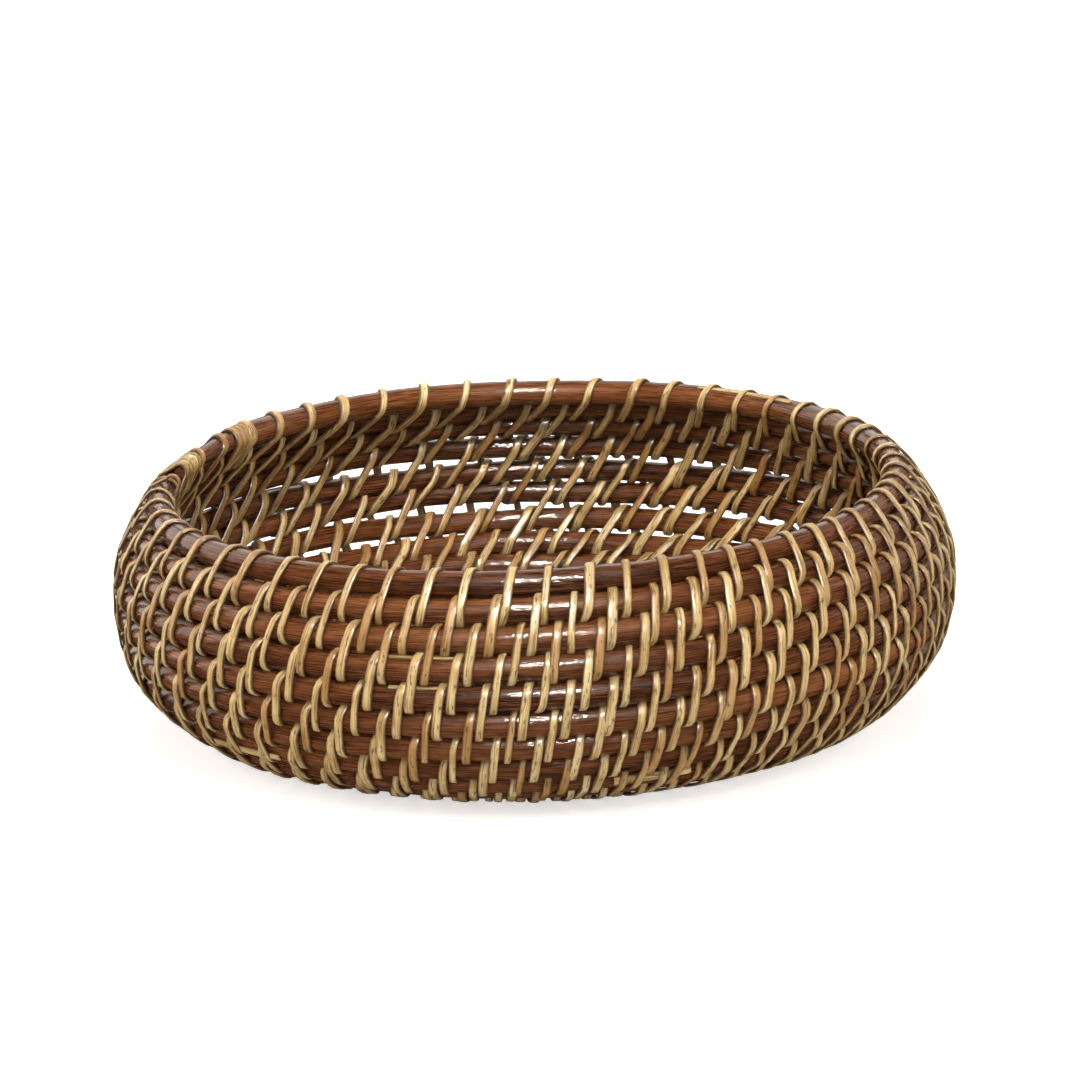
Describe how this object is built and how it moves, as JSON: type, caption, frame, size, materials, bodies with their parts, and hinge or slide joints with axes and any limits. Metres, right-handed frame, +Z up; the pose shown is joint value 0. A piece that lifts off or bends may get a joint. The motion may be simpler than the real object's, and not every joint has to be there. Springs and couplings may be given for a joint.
{
  "type": "coiled rattan basket",
  "caption": "Round coiled basket bowl with a turned-in rim: stained cane rods wound in a rising spiral and bound course to course with split-cane strips.",
  "frame": {"origin": "middle of the base at the level of the surface that the bowl stands on", "axes": "+Z up through the mouth; -Y towards the viewer of the picture, +X to that viewer's right"},
  "size_m": [0.2997, 0.2997, 0.0942],
  "materials": {
    "stained_cane": "dark stained and lacquered rattan cane, semi-gloss",
    "split_cane": "natural split rattan strip, straw-coloured, satin"
  },
  "bodies": {
    "root": {"wall_cane_1": "stained_cane", "wall_cane_2": "stained_cane", "wall_cane_3": "stained_cane", "wall_cane_4": "stained_cane", "wall_cane_5": "stained_cane", "base_cane_1": "stained_cane", "base_cane_2": "stained_cane", "base_cane_3": "stained_cane", "wall_binder_1": "split_cane", "wall_binder_2": "split_cane", "wall_binder_3": "split_cane", "wall_binder_4": "split_cane", "wall_binder_5": "split_cane", "wall_binder_6": "split_cane", "wall_binder_7": "split_cane", "wall_binder_8": "split_cane", "wall_binder_9": "split_cane", "wall_binder_10": "split_cane", "wall_binder_11": "split_cane", "base_spoke_1": "split_cane", "base_spoke_2": "split_cane", "base_spoke_3": "split_cane", "base_spoke_4": "split_cane", "base_spoke_5": "split_cane", "base_spoke_6": "split_cane", "base_spoke_7": "split_cane", "base_spoke_8": "split_cane"}
  },
  "joints": []
}
